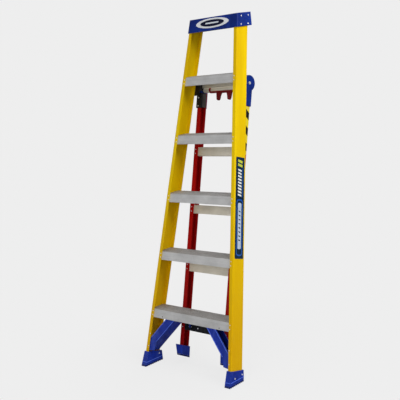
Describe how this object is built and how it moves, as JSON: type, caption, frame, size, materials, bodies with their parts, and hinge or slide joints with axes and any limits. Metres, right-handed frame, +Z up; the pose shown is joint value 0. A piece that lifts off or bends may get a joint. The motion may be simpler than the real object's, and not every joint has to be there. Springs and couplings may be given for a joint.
{
  "type": "step ladder",
  "caption": "Glass-fibre step ladder with channel rails, flat treads, a moulded top cap, a swinging rear section locked at its hinge, and rubber wall rests for use leaning shut.",
  "frame": {"origin": "on the floor under the middle of the ladder's bounding box, folded shut and leaning back 16.9 degrees so that the treads are level", "axes": "+X to the right of someone facing the treads, +Y away from them towards the wall, +Z up"},
  "size_m": [0.6594, 0.683, 1.8269],
  "materials": {
    "yellow_fibreglass": "pultruded glass-fibre channel, semi-gloss yellow",
    "red_fibreglass": "pultruded glass-fibre channel, semi-gloss dark red",
    "blue_plastic": "moulded plastic, fine satin grain",
    "royal_blue_plastic": "moulded plastic, fine satin grain",
    "sole_rubber": "matt dark blue rubber",
    "tread_aluminium": "mill-finish extrusion, matt, ribbed",
    "bar_aluminium": "mill-finish extrusion, slightly warm grey",
    "zinc_steel": "zinc-plated pressing",
    "black_steel": "black-coated steel pressing",
    "black_plastic": "moulded black plastic",
    "red_plastic": "moulded dark red plastic",
    "rivet_metal": "bright rivet heads",
    "label_vinyl": "printed vinyl label, no lettering",
    "badge_white": "white oval badge ring, no lettering"
  },
  "bodies": {
    "front_section": {"front_rail_right": "yellow_fibreglass", "front_rail_left": "yellow_fibreglass", "tread_1": "tread_aluminium", "tread_2": "tread_aluminium", "tread_3": "tread_aluminium", "tread_4": "tread_aluminium", "tread_5": "tread_aluminium", "top_cap": "blue_plastic", "wall_bumper_right": "sole_rubber", "wall_bumper_left": "sole_rubber", "front_boot_right": "royal_blue_plastic", "front_boot_left": "royal_blue_plastic", "front_sole_right": "sole_rubber", "front_sole_left": "sole_rubber", "knee_brace_right": "royal_blue_plastic", "knee_brace_left": "royal_blue_plastic", "hinge_hanger_right": "black_steel", "hinge_hanger_left": "black_steel", "pivot_pin_right": "zinc_steel", "pivot_pin_left": "zinc_steel", "hinge_cross_tube": "bar_aluminium", "hinge_bridge": "bar_aluminium"},
    "rear_section": {"rear_rail_right": "red_fibreglass", "rear_rail_left": "red_fibreglass", "hinge_knuckle_right": "blue_plastic", "hinge_knuckle_left": "blue_plastic", "knuckle_plate_right": "black_steel", "knuckle_plate_left": "black_steel", "rail_top_plate_right": "black_steel", "rail_top_plate_left": "black_steel", "rear_bar_1": "bar_aluminium", "rear_bar_2": "bar_aluminium", "rear_bar_3": "bar_aluminium", "rear_bar_4": "bar_aluminium", "rear_boot_right": "royal_blue_plastic", "rear_boot_left": "royal_blue_plastic", "rear_sole_right": "sole_rubber", "rear_sole_left": "sole_rubber", "catch_plate": "black_plastic", "catch_pin": "zinc_steel"},
    "release_lever": {"release_lever": "red_plastic"},
    "lock_bolt_right": {"lock_bolt_right": "zinc_steel"},
    "lock_bolt_left": {"lock_bolt_left": "zinc_steel"},
    "transport_catch": {"transport_catch": "blue_plastic"}
  },
  "joints": [
    {"name": "rear_swing", "type": "hinge", "parent": "front_section", "child": "rear_section", "pos_m": [0, 0.25176, 1.46006], "axis": [1, 0, 0], "range_deg": [0, 29.3]},
    {"name": "lever_pull", "type": "hinge", "parent": "front_section", "child": "release_lever", "pos_m": [0, 0.24507, 1.43805], "axis": [-1, 0, 0], "range_deg": [0, 25], "stiffness_Nm_per_rad": 0.4, "springref_deg": -11.46},
    {"name": "lock_bolt_right_slide", "type": "slide", "parent": "front_section", "child": "lock_bolt_right", "axis": [-1, 0, 0], "range_m": [0, 0.012]},
    {"name": "lock_bolt_left_slide", "type": "slide", "parent": "front_section", "child": "lock_bolt_left", "axis": [1, 0, 0], "range_m": [0, 0.012]},
    {"name": "catch_swing", "type": "hinge", "parent": "rear_section", "child": "transport_catch", "pos_m": [-0.092, -0.15679, 0.20052], "axis": [1, 0, 0], "range_deg": [-20, 0]}
  ],
  "couplings": [
    {"joint": "lock_bolt_right_slide", "follows": "lever_pull", "m_per_rad": 0.0275},
    {"joint": "lock_bolt_left_slide", "follows": "lever_pull", "m_per_rad": 0.0275}
  ]
}
